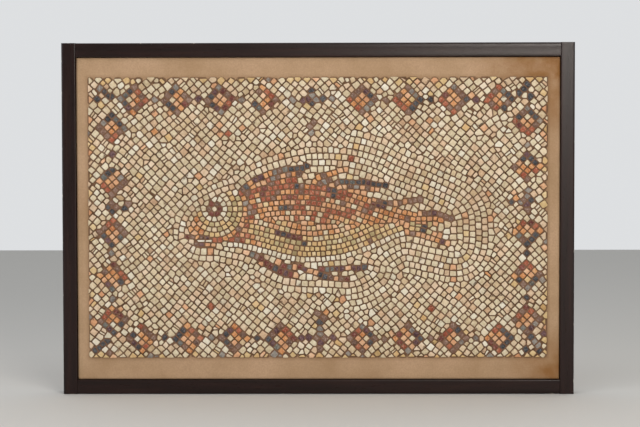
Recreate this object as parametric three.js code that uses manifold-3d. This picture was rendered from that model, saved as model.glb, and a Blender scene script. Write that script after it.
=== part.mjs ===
// A framed floor mosaic: a fish in a field of limestone tesserae, inside a border of poised squares.
// Units are millimetres. The panel is drawn lying down, with x across, y up the picture and z out of
// the wall, and the whole group is stood up at the end. The wall plane is z = 0.
import * as THREE from 'three';
import { mergeVertices } from 'three/addons/utils/BufferGeometryUtils.js';
import Module from 'manifold-3d';

const wasm = await Module();
wasm.setup();

// ---------------------------------------------------------------------------------------------
// Driving dimensions
// ---------------------------------------------------------------------------------------------
const PANEL_WIDTH = 870;
const PANEL_HEIGHT = 597;
const RAIL_FACE = 24; // width of the frame's moulding, seen from the front
const FRAME_DEPTH = 42;
const ARRIS = 1; // easing of the frame's edges
const BED_DEPTH = 38; // mortar bed, from the wall to its sanded face, nearly flush with the frame
const STONE_PROUD = 3; // how far the tesserae stand out of the sanded face
const GAP = 0.3; // clearance between neighbouring pieces
const SHADOW_GAP = 1.3; // open line between the frame and the sanded face
const SHADOW_GAP_DEPTH = 5;
const OVERLAP = 1; // how far fused blocks run into each other
const MITRE_LIMIT = 0.4; // keeps sharp corners from reaching too far when an outline grows

const FIELD_WIDTH = 766; // mosaic, between the valleys of its toothed edge
const FIELD_HEIGHT = 464;
const FIELD_CENTRE_Y = 1;
const STONE_PITCH = 11; // field tessera with its joint
const DIAMOND_PITCH = 9.8; // the border's stones are cut a little smaller
const DIAMOND_STONES = 4; // stones along one side of a border diamond
const JOINT_WIDTH = 1.8; // joint between two stones, at the face
const JOINT_DEPTH = 1.2;
const STONES_PER_COURSE = 2; // the field's solid shows every second joint between its diagonal rows

const BED_FACE = BED_DEPTH;
const STONE_BACK = BED_FACE + GAP;
const STONE_FACE = BED_FACE + STONE_PROUD;
const STEP = STONE_PITCH * Math.SQRT2; // one field stone, measured corner to corner

// ---------------------------------------------------------------------------------------------
// Materials
// ---------------------------------------------------------------------------------------------
const material = (color, roughness) => new THREE.MeshStandardMaterial({ color, roughness, metalness: 0 });
const FINISH = {
  stainedWood: material('#2b1a15', 0.45),
  sandedMortar: material('#b08d68', 0.95),
  creamLimestone: material('#d2c1a0', 0.8),
  paleLimestone: material('#dccdb0', 0.8),
  terracotta: material('#a4583c', 0.8),
  orangeStone: material('#cf9463', 0.8),
  ochreStone: material('#b99a5d', 0.8),
  brownMarble: material('#77594c', 0.75),
  darkBasalt: material('#3b3a42', 0.7),
};

// ---------------------------------------------------------------------------------------------
// Solids
// ---------------------------------------------------------------------------------------------
function signedVolume(position, index) {
  let sum = 0;
  const [a, b, c] = [new THREE.Vector3(), new THREE.Vector3(), new THREE.Vector3()];
  for (let i = 0; i < index.length; i += 3) {
    a.fromBufferAttribute(position, index[i]);
    b.fromBufferAttribute(position, index[i + 1]);
    c.fromBufferAttribute(position, index[i + 2]);
    sum += a.dot(b.cross(c));
  }
  return sum;
}

function solid(geometry) {
  const bare = geometry.index ? geometry.toNonIndexed() : geometry;
  bare.deleteAttribute('normal');
  bare.deleteAttribute('uv');
  const merged = mergeVertices(bare, 1e-4);
  const triVerts = Uint32Array.from(merged.index.array);
  if (signedVolume(merged.attributes.position, triVerts) < 0) triVerts.reverse();
  const vertProperties = Float32Array.from(merged.attributes.position.array);
  return new wasm.Manifold(new wasm.Mesh({ numProp: 3, vertProperties, triVerts }));
}

function geometryOf(manifold) {
  const { vertProperties, triVerts } = manifold.getMesh();
  const geometry = new THREE.BufferGeometry();
  geometry.setAttribute('position', new THREE.BufferAttribute(vertProperties, 3));
  geometry.setIndex(new THREE.BufferAttribute(triVerts, 1));
  return geometry;
}

/** A flat piece with the given outline, between two heights over the wall. */
function plate(points, from = STONE_BACK, to = STONE_FACE) {
  const shape = new THREE.Shape(points.map(([x, y]) => new THREE.Vector2(x, y)));
  const geometry = new THREE.ExtrudeGeometry(shape, { depth: to - from, bevelEnabled: false });
  return solid(geometry.translate(0, 0, from));
}

/** A V-shaped cutter that opens a joint in the stones' face along a path of [x, y] points. */
function joint(points) {
  const corners = points.map(([x, y]) => new THREE.Vector3(x, y, STONE_FACE));
  const curve = corners.length > 2 ? new THREE.CatmullRomCurve3(corners) : new THREE.LineCurve3(...corners);
  // The section's first axis runs into the stone, its second across the joint.
  const section = new THREE.Shape([
    new THREE.Vector2(JOINT_DEPTH, 0),
    new THREE.Vector2(-JOINT_DEPTH, JOINT_WIDTH),
    new THREE.Vector2(-JOINT_DEPTH, -JOINT_WIDTH),
  ]);
  const steps = corners.length > 2 ? corners.length - 1 : 1;
  return solid(new THREE.ExtrudeGeometry(section, { steps, extrudePath: curve, bevelEnabled: false }));
}

const cut = (body, cutters) => body.subtract(wasm.Manifold.union(cutters));

// ---------------------------------------------------------------------------------------------
// Outlines, as lists of [x, y]
// ---------------------------------------------------------------------------------------------
/** Joins runs of points: each run is a smooth curve, and the outline turns sharply where runs meet. */
function outline(...runs) {
  return runs.flatMap((run) => {
    if (run.length < 3) return run.slice(0, -1);
    const curve = new THREE.SplineCurve(run.map(([x, y]) => new THREE.Vector2(x, y)));
    return curve.getPoints(Math.round(1.5 * run.length)).slice(0, -1).map((p) => [p.x, p.y]);
  });
}

function turnsLeft(points) {
  return THREE.ShapeUtils.area(points.map(([x, y]) => new THREE.Vector2(x, y))) > 0;
}

/** Moves every side of a closed outline outwards by the given distance, or inwards if it is negative. */
function grow(points, distance) {
  const out = turnsLeft(points) ? distance : -distance;
  return points.map(([x, y], i) => {
    const [px, py] = points.at(i - 1);
    const [nx, ny] = points[(i + 1) % points.length];
    const before = new THREE.Vector2(y - py, px - x).normalize();
    const after = new THREE.Vector2(ny - y, x - nx).normalize();
    const miter = before.clone().add(after).normalize();
    const reach = out / Math.max(MITRE_LIMIT, miter.dot(after));
    return [x + miter.x * reach, y + miter.y * reach];
  });
}

/** A band of constant width along a centre line of [x, y], tapering to its last point. */
function band(centre, width) {
  const line = new THREE.SplineCurve(centre.map(([x, y]) => new THREE.Vector2(x, y)));
  const steps = 2 * centre.length;
  const sides = [[], []];
  for (let i = 0; i <= steps; i++) {
    const at = line.getPoint(i / steps);
    const along = line.getTangent(i / steps);
    const half = (width / 2) * (i < steps ? 1 : 0.25);
    sides[0].push([at.x - along.y * half, at.y + along.x * half]);
    sides[1].unshift([at.x + along.y * half, at.y - along.x * half]);
  }
  return [...sides[0], ...sides[1]];
}

/** The toothed edge that a field of stones laid on the diagonal leaves. */
function toothedRectangle(width, height) {
  const across = Math.round(width / STEP);
  const up = Math.round(height / STEP);
  const [w, h] = [across * STEP, up * STEP];
  const edge = (count, place) => Array.from({ length: 2 * count }, (_, i) => place(i / 2, (i % 2) * (STEP / 2)));
  return [
    ...edge(across, (n, tooth) => [n * STEP - w / 2, -h / 2 - tooth]),
    ...edge(up, (n, tooth) => [w / 2 + tooth, n * STEP - h / 2]),
    ...edge(across, (n, tooth) => [w / 2 - n * STEP, h / 2 + tooth]),
    ...edge(up, (n, tooth) => [-w / 2 - tooth, h / 2 - n * STEP]),
  ].map(([x, y]) => [x, y + FIELD_CENTRE_Y]);
}

// ---------------------------------------------------------------------------------------------
// The model
// ---------------------------------------------------------------------------------------------
const panel = new THREE.Group();

function addPiece(name, body, finish) {
  const mesh = new THREE.Mesh(geometryOf(body), FINISH[finish]);
  mesh.name = name;
  panel.add(mesh);
  return body;
}

// --- frame: four lengths of one moulding, the upright stiles running full height -------------
/** Section of the frame's flat moulding: u runs from the opening to the outer edge, v from the wall to the face. */
function mouldingSection() {
  const [w, v, e] = [RAIL_FACE, FRAME_DEPTH, ARRIS];
  return [
    [0, 0], [w - e, 0], [w, e],
    [w, v - 3 * e], [w - 0.3 * e, v - 1.4 * e], [w - 1.3 * e, v - 0.4 * e], [w - 3 * e, v],
    [1.2 * e, v], [0.3 * e, v - 0.3 * e], [0, v - 1.2 * e],
  ];
}

function moulding(length) {
  const shape = new THREE.Shape(mouldingSection().map(([u, v]) => new THREE.Vector2(u, v)));
  const geometry = new THREE.ExtrudeGeometry(shape, { depth: length, bevelEnabled: false });
  geometry.translate(0, 0, -length / 2);
  return geometry;
}

/** Puts a moulding in the frame: its opening side faces the panel's middle. */
function addRail(name, length, x, y, turn) {
  const stood = moulding(length).rotateX(Math.PI / 2).rotateZ(turn).translate(x, y, 0);
  addPiece(name, solid(stood), 'stainedWood');
}

const OPENING_WIDTH = PANEL_WIDTH - 2 * RAIL_FACE;
const OPENING_HEIGHT = PANEL_HEIGHT - 2 * RAIL_FACE;
addRail('frame_right_stile', PANEL_HEIGHT, OPENING_WIDTH / 2, 0, 0);
addRail('frame_left_stile', PANEL_HEIGHT, -OPENING_WIDTH / 2, 0, Math.PI);
addRail('frame_top_rail', OPENING_WIDTH - 2 * GAP, 0, OPENING_HEIGHT / 2, Math.PI / 2);
addRail('frame_bottom_rail', OPENING_WIDTH - 2 * GAP, 0, -OPENING_HEIGHT / 2, -Math.PI / 2);

// --- mortar bed: fills the frame from the wall to the sanded face ----------------------------
function block(width, height, from, to) {
  const box = new THREE.BoxGeometry(width, height, to - from);
  return solid(box.translate(0, 0, (from + to) / 2));
}

const core = block(OPENING_WIDTH - 2 * GAP, OPENING_HEIGHT - 2 * GAP, 0, BED_FACE - SHADOW_GAP_DEPTH);
const sandedLayer = block(
  OPENING_WIDTH - 2 * SHADOW_GAP, OPENING_HEIGHT - 2 * SHADOW_GAP, BED_FACE - SHADOW_GAP_DEPTH - OVERLAP, BED_FACE,
);
addPiece('mortar_bed', core.add(sandedLayer), 'sandedMortar');

// --- border: poised squares of four by four stones, with a small floret in each side ---------
/** Each run is a row of squares: where its middle line lies, and how its squares are spaced. */
const TOP_LINE = 202;
const BOTTOM_LINE = -204;
const RIGHT_LINE = 355;
const LEFT_LINE = -350;
const DIAMOND_RUNS = [
  { side: 'top', along: 'x', line: TOP_LINE, first: -313, pitch: 73.5, count: 4 },
  { side: 'top', along: 'x', line: TOP_LINE, first: 75, pitch: 77.6, count: 4 },
  { side: 'bottom', along: 'x', line: BOTTOM_LINE, first: -301, pitch: 79.2, count: 4 },
  { side: 'bottom', along: 'x', line: BOTTOM_LINE, first: 75, pitch: 77.6, count: 4 },
  { side: 'right', along: 'y', line: RIGHT_LINE, first: 88, pitch: 77.5, count: 2 },
  { side: 'right', along: 'y', line: RIGHT_LINE, first: -172, pitch: 75.4, count: 3 },
  { side: 'left', along: 'y', line: LEFT_LINE, first: 63, pitch: 92.5, count: 2 },
  { side: 'left', along: 'y', line: LEFT_LINE, first: -173, pitch: 75, count: 3 },
];
const FLORETS = [
  { side: 'top', x: -9.5, y: TOP_LINE, budX: -10, budY: 160 },
  { side: 'bottom', x: 4, y: BOTTOM_LINE, budX: 6, budY: -172 },
  { side: 'right', x: RIGHT_LINE, y: 31, budX: 332, budY: 31 },
  { side: 'left', x: LEFT_LINE, y: 20, budX: -326, budY: 22 },
];
const CORNER_MOTIFS = [
  { corner: 'top_left', x: -362, y: 216, turn: -1 },
  { corner: 'top_right', x: 348, y: 220, turn: 1 },
  { corner: 'bottom_left', x: -366, y: -214, turn: 1 },
  { corner: 'bottom_right', x: 368, y: -209, turn: -1 },
];
const inlays = []; // outlines that the cream field makes room for

/**
 * A block of stones turned by 45 degrees. Joints are cut into its face after each of the numbers of
 * stones in its two lists, and its size follows from the last of each.
 */
function stoneBlock(x, y, columnJoints, rowJoints, turn = 1) {
  const [columns, rows] = [columnJoints.at(-1), rowJoints.at(-1)];
  const pitch = DIAMOND_PITCH;
  const angle = (turn * Math.PI) / 4;
  const place = ([u, v]) => [
    x + u * Math.cos(angle) - v * Math.sin(angle),
    y + u * Math.sin(angle) + v * Math.cos(angle),
  ];
  const [w, h] = [(columns * pitch) / 2, (rows * pitch) / 2];
  const edge = [[-w, -h], [w, -h], [w, h], [-w, h]].map(place);
  const past = 2 * JOINT_WIDTH;
  const joints = [];
  for (const stones of columnJoints.slice(0, -1)) {
    const u = stones * pitch - w;
    joints.push(joint([[u, -h - past], [u, h + past]].map(place)));
  }
  for (const stones of rowJoints.slice(0, -1)) {
    const v = stones * pitch - h;
    joints.push(joint([[-w - past, v], [w + past, v]].map(place)));
  }
  inlays.push(edge);
  return cut(plate(edge), joints);
}

const RING_AND_MIDDLE = [1, 3, DIAMOND_STONES]; // a ring one stone wide round the middle four
const madeOnSide = { top: 0, bottom: 0, right: 0, left: 0 };
for (const { side, along, line, first, pitch, count } of DIAMOND_RUNS) {
  for (let i = 0; i < count; i++) {
    const at = first + i * pitch;
    const [x, y] = along === 'x' ? [at, line] : [line, at];
    madeOnSide[side] += 1;
    const name = `border_diamond_${side}_${madeOnSide[side]}`;
    addPiece(name, stoneBlock(x, y, RING_AND_MIDDLE, RING_AND_MIDDLE), 'terracotta');
  }
}
for (const { side, x, y, budX, budY } of FLORETS) {
  addPiece(`border_floret_${side}`, stoneBlock(x, y, [1, 2], [1, 2]), 'darkBasalt');
  addPiece(`border_bud_${side}`, stoneBlock(budX, budY, [1, 2], [1]), 'brownMarble');
}
for (const { corner, x, y, turn } of CORNER_MOTIFS) {
  addPiece(`corner_stones_${corner}`, stoneBlock(x, y, [1, 2, 3], [1], turn), 'darkBasalt');
}

// --- the fish, swimming to the left ----------------------------------------------------------
const SNOUT = [-227, -30];
const TAIL_TOP = [168, 12];
const TAIL_FORK = [178, -17];
const TAIL_ROOT = [146, -28];
const MOUTH = [-178, -38];
const BACK_LINE = [
  SNOUT, [-221, -10], [-203, 15], [-170, 36], [-124, 49], [-80, 57], [-30, 59], [20, 54], [63, 43], [102, 29],
  [139, 17], TAIL_TOP,
];
const BELLY_LINE = [
  TAIL_ROOT, [125, -36], [102, -46], [75, -58], [41, -68], [0, -73], [-41, -71], [-82, -61], [-116, -52],
  [-147, -48], [-178, -47], [-205, -46],
];
const TAIL_OUTLINE = outline(
  [TAIL_TOP, [206, 12], [235, -2]],
  [[235, -2], [207, -8], TAIL_FORK],
  [TAIL_FORK, [206, -27], [232, -50]],
  [[232, -50], [204, -42], [173, -31], TAIL_ROOT],
  [TAIL_ROOT, [152, -8], TAIL_TOP],
);
const BODY_OUTLINE = outline(
  BACK_LINE,
  [TAIL_TOP, [152, -8], TAIL_ROOT],
  BELLY_LINE,
  [[-205, -46], [-206, -42]],
  [[-206, -42], MOUTH],
  [MOUTH, [-206, -36]],
  [[-206, -36], SNOUT],
);
const GILL_LINE = [[-118, 60], [-119, 30], [-124, 0], [-137, -26], [-160, -42], [-170, -60]];
const EYE = { x: -176, y: 17, radius: 9 };
const FIN_STONE = 9; // one course of the fins' stones

const FINS = [
  {
    name: 'fish_front_dorsal_fin',
    finish: 'brownMarble',
    edge: outline(
      [[-134, 49], [-117, 64], [-90, 77], [-60, 86], [-29, 91], [-4, 97]],
      [[-4, 97], [-20, 84], [-30, 74], [-27, 62]],
      [[-27, 62], [-80, 61], [-134, 49]],
    ),
  },
  {
    name: 'fish_middle_dorsal_fin',
    finish: 'orangeStone',
    edge: outline(
      [[-10, 60], [-3, 70], [20, 80], [46, 88], [67, 91]],
      [[67, 91], [44, 80], [26, 70], [18, 57]],
      [[18, 57], [-10, 60]],
    ),
  },
  {
    name: 'fish_rear_dorsal_fin',
    finish: 'darkBasalt',
    edge: outline(
      [[26, 56], [36, 66], [64, 66], [95, 63], [127, 58]],
      [[127, 58], [104, 49], [84, 42], [72, 44]],
      [[72, 44], [26, 56]],
    ),
  },
  {
    name: 'fish_tail_spike',
    finish: 'brownMarble',
    edge: outline([[92, 35], [118, 31], [150, 33], [181, 39]], [[181, 39], [152, 22], [122, 24]], [[122, 24], [92, 35]]),
  },
  {
    name: 'fish_front_belly_fin',
    finish: 'brownMarble',
    edge: band([[-126, -56], [-111, -61], [-98, -68], [-79, -81], [-60, -91], [-34, -97]], FIN_STONE),
  },
  {
    name: 'fish_middle_belly_fin',
    finish: 'darkBasalt',
    edge: band([[-62, -79], [-28, -84], [-3, -93], [20, -100], [56, -103]], FIN_STONE),
  },
  {
    name: 'fish_rear_belly_fin',
    finish: 'darkBasalt',
    edge: band([[2, -83], [24, -86], [50, -84], [88, -83]], FIN_STONE),
  },
];

const bodyPlate = plate(BODY_OUTLINE);
const headSide = [...outline(GILL_LINE), GILL_LINE.at(-1), [-260, -60], [-260, 60]];
const EYE_SIDES = 14;
const eyeEdge = Array.from({ length: EYE_SIDES }, (_, i) => {
  const angle = (i / EYE_SIDES) * 2 * Math.PI;
  return [EYE.x + EYE.radius * Math.cos(angle), EYE.y + EYE.radius * Math.sin(angle)];
});

/** A line that runs the length of the body, at a share of the way from the back to the belly. */
function lengthwise(share, from, to) {
  const back = new THREE.SplineCurve(BACK_LINE.map(([x, y]) => new THREE.Vector2(x, y)));
  const belly = new THREE.SplineCurve(BELLY_LINE.map(([x, y]) => new THREE.Vector2(x, y)));
  const points = 10;
  return Array.from({ length: points }, (_, i) => {
    const t = THREE.MathUtils.lerp(from, to, i / (points - 1));
    const p = back.getPoint(t).lerp(belly.getPoint(1 - t), share);
    return [p.x, p.y];
  });
}

const deep = (points) => plate(points, 0, 2 * STONE_FACE); // a cutter that goes right through
const FLANK_SHARE = 0.52; // where the back's stones meet the belly's
const flank = lengthwise(FLANK_SHARE, 0, 1);
const backSide = [...flank, [220, -9], [220, 120], [-260, 120]];

const cutaway = (body, points) => body.subtract(deep(grow(points, GAP)));
const head = cutaway(bodyPlate.intersect(deep(headSide)), eyeEdge);
const trunk = cutaway(bodyPlate, headSide);
const bodyJoints = [0.17, 0.34, 0.68, 0.84].map((share) => joint(lengthwise(share, 0.2, 1)));
addPiece('fish_head', head, 'orangeStone');
addPiece('fish_eye', plate(grow(eyeEdge, 0)), 'paleLimestone');
addPiece('fish_back', cut(trunk.intersect(deep(backSide)), bodyJoints), 'terracotta');
addPiece('fish_belly', cut(cutaway(trunk, backSide), bodyJoints), 'ochreStone');
addPiece('fish_tail_fin', cutaway(plate(TAIL_OUTLINE), BODY_OUTLINE), 'brownMarble');
let fishShadow = deep(grow(BODY_OUTLINE, GAP)).add(deep(grow(TAIL_OUTLINE, GAP)));
for (const { name, finish, edge } of FINS) {
  addPiece(name, plate(edge).subtract(fishShadow), finish);
  fishShadow = fishShadow.add(deep(grow(edge, GAP)));
}

// --- cream courses that follow the fish, then the field on the diagonal ----------------------
/** Smooth outline around the fish, a number of stones outside the innermost course's inner edge. */
function courseOutline(stones) {
  const around = outline([
    [-226, -30], [-205, 14], [-130, 62], [-60, 92], [10, 101], [90, 92], [180, 62], [246, 10], [250, -48],
    [190, -62], [110, -88], [30, -112], [-60, -104], [-130, -66], [-205, -52], [-226, -30],
  ]);
  return grow(around, stones * STONE_PITCH);
}
const innerCourse = plate(courseOutline(1)).subtract(fishShadow);
addPiece('fish_course_inner', innerCourse, 'paleLimestone');
addPiece('fish_course_outer', cutaway(plate(courseOutline(2)), courseOutline(1)), 'creamLimestone');

const fieldEdge = toothedRectangle(FIELD_WIDTH, FIELD_HEIGHT);
const room = wasm.Manifold.union([courseOutline(2), ...inlays].map((edge) => deep(grow(edge, GAP))));
const reach = (FIELD_WIDTH + FIELD_HEIGHT) / 2;
const fieldJoints = [];
for (let n = -Math.floor(reach / STEP); n <= reach / STEP; n++) {
  if (n % STONES_PER_COURSE !== 0) continue;
  const x = n * STEP;
  const half = FIELD_HEIGHT;
  fieldJoints.push(joint([[x - half, FIELD_CENTRE_Y - half], [x + half, FIELD_CENTRE_Y + half]]));
}
addPiece('field_courses', cut(plate(fieldEdge).subtract(room), fieldJoints), 'creamLimestone');

// Stand the panel up: the picture's up becomes +Z, and its face looks along -Y.
panel.rotation.x = Math.PI / 2;

export default panel;
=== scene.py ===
# %% [markdown]
# # A fish in stone: a framed floor mosaic
# The work is a slab of mortar with about 3,650 hand-cut stones pressed into it, held in a dark
# stained wooden moulding. The solid model, which is measured, is loaded first and never changed.
# Everything below dresses it: each raised shape of the solid model that stands
# for many stones is replaced by those stones.

# %% Load the measured model
import math
from collections import Counter
from dataclasses import dataclass

import bmesh
import bpy
import numpy as np
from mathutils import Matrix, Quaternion, Vector, kdtree, noise


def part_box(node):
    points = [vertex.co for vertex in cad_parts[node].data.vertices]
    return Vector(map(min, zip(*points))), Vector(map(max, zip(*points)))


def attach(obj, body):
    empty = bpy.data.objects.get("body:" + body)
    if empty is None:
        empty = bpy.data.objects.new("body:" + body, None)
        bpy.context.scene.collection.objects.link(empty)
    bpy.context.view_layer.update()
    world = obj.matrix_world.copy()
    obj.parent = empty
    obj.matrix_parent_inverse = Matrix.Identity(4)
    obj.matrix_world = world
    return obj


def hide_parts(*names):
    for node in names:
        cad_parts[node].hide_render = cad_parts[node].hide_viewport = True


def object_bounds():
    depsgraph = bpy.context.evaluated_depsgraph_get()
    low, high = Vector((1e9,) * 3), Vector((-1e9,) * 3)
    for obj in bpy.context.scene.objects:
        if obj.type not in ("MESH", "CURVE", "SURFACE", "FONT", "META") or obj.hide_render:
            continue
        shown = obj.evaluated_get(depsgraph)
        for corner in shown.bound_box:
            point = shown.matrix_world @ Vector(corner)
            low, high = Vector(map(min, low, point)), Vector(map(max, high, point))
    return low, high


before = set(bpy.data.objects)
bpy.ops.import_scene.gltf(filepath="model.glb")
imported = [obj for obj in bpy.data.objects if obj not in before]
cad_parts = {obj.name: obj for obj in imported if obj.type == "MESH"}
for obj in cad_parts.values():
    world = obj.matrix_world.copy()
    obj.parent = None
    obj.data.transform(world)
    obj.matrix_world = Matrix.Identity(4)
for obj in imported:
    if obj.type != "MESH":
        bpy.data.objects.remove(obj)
cad_low, cad_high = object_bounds()
MM = 0.001
print("solid model, metres:", [round(v, 4) for v in (*cad_low, *cad_high)])

# %% [markdown]
# ## Camera
# A flat work is shown nearly square on, from far away with a long lens, so that its frame stays
# a rectangle. The camera stands a little above the middle and a hair to the right. The lens is
# worked out from how wide a strip of wall the view should take in at the frame's face.

# %% Camera
FACE_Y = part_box("frame_left_stile")[0].y
CAMERA_DISTANCE = 3.0
STRIP_WIDTH = 1.0862
SENSOR_WIDTH = 36.0
AIM = Vector((0.0034, FACE_Y, 0.0092))
AZIMUTH = math.radians(0.6)
ELEVATION = math.radians(2.3)
ROLL = math.radians(-0.1)

away = Vector((
    math.sin(AZIMUTH) * math.cos(ELEVATION),
    -math.cos(AZIMUTH) * math.cos(ELEVATION),
    math.sin(ELEVATION),
))
camera = bpy.data.objects.new("camera", bpy.data.cameras.new("camera"))
bpy.context.scene.collection.objects.link(camera)
camera.location = AIM + away * CAMERA_DISTANCE
looking = (-away).to_track_quat("-Z", "Y") @ Quaternion((0, 0, 1), ROLL)
camera.rotation_euler = looking.to_euler()
camera.data.sensor_width = SENSOR_WIDTH
camera.data.lens = SENSOR_WIDTH * CAMERA_DISTANCE / STRIP_WIDTH
bpy.context.scene.camera = camera
bpy.context.scene.view_settings.view_transform = "Standard"
print("lens, mm:", round(camera.data.lens, 1))

# %% [markdown]
# ## Colours and nodes
# Colours are written as the hex values that a colour chart gives. Cycles works with linear
# light, so one function turns them. A second small function adds a node with its settings and
# its links, which keeps the materials below short enough to read.

# %% Colours and nodes
def linear(hex_colour):
    """A hex colour as linear red, green, blue and alpha."""
    shares = [int(hex_colour[i : i + 2], 16) / 255 for i in (1, 3, 5)]
    return (*[c / 12.92 if c <= 0.04045 else ((c + 0.055) / 1.055) ** 2.4 for c in shares], 1.0)


def add(tree, kind, values=None, links=None, **settings):
    """A new node: settings are its own switches, values fill its inputs, links feed them."""
    made = tree.nodes.new(kind)
    for name, setting in settings.items():
        setattr(made, name, setting)
    for name, value in (values or {}).items():
        made.inputs[name].default_value = value
    for name, source in (links or {}).items():
        tree.links.new(source, made.inputs[name])
    return made


def ramp(tree, source, stops):
    """A colour ramp fed by source, with (place, hex colour) stops."""
    made = add(tree, "ShaderNodeValToRGB", links={0: source})
    elements = made.color_ramp.elements
    while len(elements) < len(stops):
        elements.new(0.5)
    for element, (place, hex_colour) in zip(elements, stops):
        element.position = place
        element.color = linear(hex_colour)
    return made.outputs[0]


def mix_colour(tree, share, one, other, blend="MIX"):
    """One colour turning to another; each is an output or a hex colour."""
    made = add(tree, "ShaderNodeMix", data_type="RGBA", blend_type=blend)
    for place, source in ((0, share), (6, one), (7, other)):
        if isinstance(source, str):
            made.inputs[place].default_value = linear(source)
        elif isinstance(source, float):
            made.inputs[place].default_value = source
        else:
            tree.links.new(source, made.inputs[place])
    return made.outputs[2]


def rescale(tree, source, from_low, from_high, to_low, to_high):
    """A number moved from one range to another, and held inside the new one."""
    values = {1: from_low, 2: from_high, 3: to_low, 4: to_high}
    return add(tree, "ShaderNodeMapRange", values, {0: source}).outputs[0]


def grain(tree, places, size_mm, detail=3.0, roughness=0.55):
    """Cloudy noise whose lumps are about size_mm across."""
    values = {"Scale": 1 / (size_mm * MM), "Detail": detail, "Roughness": roughness}
    return add(tree, "ShaderNodeTexNoise", values, {"Vector": places}).outputs[0]


def painted(tree, name):
    """A number that was painted on the piece when it was modelled."""
    return add(tree, "ShaderNodeAttribute", attribute_name=name).outputs["Fac"]


def times(tree, one, other):
    """The product of two numbers."""
    return add(tree, "ShaderNodeMath", operation="MULTIPLY", links={0: one, 1: other}).outputs[0]


def dress(tree, shader, colour, bumps, strength, depth, gloss):
    """The end of every recipe: its colour, a fine bump of a depth in metres, and its gloss."""
    tree.links.new(colour, shader.inputs["Base Color"])
    bump = add(tree, "ShaderNodeBump", {"Strength": strength, "Distance": depth}, {"Height": bumps})
    tree.links.new(bump.outputs[0], shader.inputs["Normal"])
    shader.inputs["Specular IOR Level"].default_value = gloss


def new_material(name):
    """An empty material with its shader, its node tree and the piece's own coordinates."""
    made = bpy.data.materials.new(name)
    made.use_nodes = True
    tree = made.node_tree
    shader = tree.nodes["Principled BSDF"]
    places = add(tree, "ShaderNodeTexCoord").outputs["Object"]
    return made, tree, shader, places


# %% [markdown]
# ## Floor and light
# A pale floor and a pale backdrop stand for a small studio, which is dimmer on the camera's own
# side. The stone wants soft light that comes a little from above, so that joints read as lines.
# The dark moulding wants something bright to reflect along its top and its right side only. One
# soft box above and to the right of the camera does both. A wide weak one from the left and
# another overhead keep the shadows open.

# %% Floor and light
FLOOR_HALF = 4.0
FLOOR_GAP = 0.0005
NEAR_GLOW = 0.24
FAR_GLOW = 0.85

floor_form = bmesh.new()
bmesh.ops.create_grid(floor_form, x_segments=1, y_segments=1, size=FLOOR_HALF)
bmesh.ops.translate(floor_form, verts=floor_form.verts, vec=(0, 0, cad_low.z - FLOOR_GAP))
floor_mesh = bpy.data.meshes.new("floor")
floor_form.to_mesh(floor_mesh)
floor_form.free()
floor = bpy.data.objects.new("floor", floor_mesh)
bpy.context.scene.collection.objects.link(floor)
floor_paint, _, floor_shader, _ = new_material("matt floor paint, rolled")
floor_shader.inputs["Base Color"].default_value = linear("#d9d7d2")
floor_shader.inputs["Roughness"].default_value = 0.9
floor_mesh.materials.append(floor_paint)

world = bpy.data.worlds.new("pale studio")
world.use_nodes = True
bpy.context.scene.world = world
sky = world.node_tree
backdrop = sky.nodes["Background"]
backdrop.inputs["Color"].default_value = linear("#eef0f2")
heading = add(sky, "ShaderNodeTexCoord").outputs["Generated"]
behind = add(sky, "ShaderNodeSeparateXYZ", links={0: heading}).outputs["Y"]
sky.links.new(rescale(sky, behind, -0.3, 0.5, NEAR_GLOW, FAR_GLOW), backdrop.inputs["Strength"])


def soft_box(name, place, width, height, watts, hex_colour):
    """A rectangular lamp that faces the work; the camera itself doesn't see it."""
    lamp = bpy.data.lights.new(name, "AREA")
    lamp.shape = "RECTANGLE"
    lamp.size = width
    lamp.size_y = height
    lamp.energy = watts
    lamp.color = linear(hex_colour)[:3]
    box = bpy.data.objects.new(name, lamp)
    bpy.context.scene.collection.objects.link(box)
    box.location = place
    box.rotation_euler = (-Vector(place)).to_track_quat("-Z", "Y").to_euler()
    box.visible_camera = False


soft_box("key soft box", (0.95, -3.0, 0.8), 1.1, 0.7, 44, "#fff8f0")
soft_box("left fill", (-2.4, -2.2, 0.7), 1.4, 1.4, 25, "#f8f8ff")
soft_box("overhead", (0, -1.2, 2.2), 1.6, 1.0, 14, "#ffffff")

# %% [markdown]
# ## Lines to lay stones along
# A mosaic worker draws the figure's outline and then lays stones in rows beside it. The helpers
# here do that on the picture's plane, in millimetres: x to the right, z up. A line is smoothed
# through a few chosen points, moved sideways for the next row, and measured against.

# %% Lines to lay stones along
def respace(line, step):
    """The same line with points at equal steps along it."""
    run = np.concatenate([[0], np.cumsum(np.hypot(*np.diff(line, axis=0).T))])
    at = np.linspace(0, run[-1], max(1, int(round(run[-1] / step))) + 1)
    return np.column_stack([np.interp(at, run, line[:, 0]), np.interp(at, run, line[:, 1])])


def smooth_line(points, step=3.0):
    """A soft curve through the points (Catmull and Rom's)."""
    p = np.array(points, float)
    q = np.vstack([2 * p[0] - p[1], p, 2 * p[-1] - p[-2]])
    share = np.linspace(0, 1, 16, endpoint=False)[:, None]
    runs = []
    for a, b, c, d in zip(q, q[1:], q[2:], q[3:]):
        bend = (2 * a - 5 * b + 4 * c - d) * share**2 + (3 * b - a - 3 * c + d) * share**3
        runs.append(0.5 * (2 * b + (c - a) * share + bend))
    return respace(np.vstack([*runs, p[-1:]]), step)


def beside(line, distance):
    """The line moved to its own left."""
    along = np.gradient(line, axis=0)
    along /= np.linalg.norm(along, axis=1)[:, None]
    return line + distance * np.column_stack([-along[:, 1], along[:, 0]])


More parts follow.
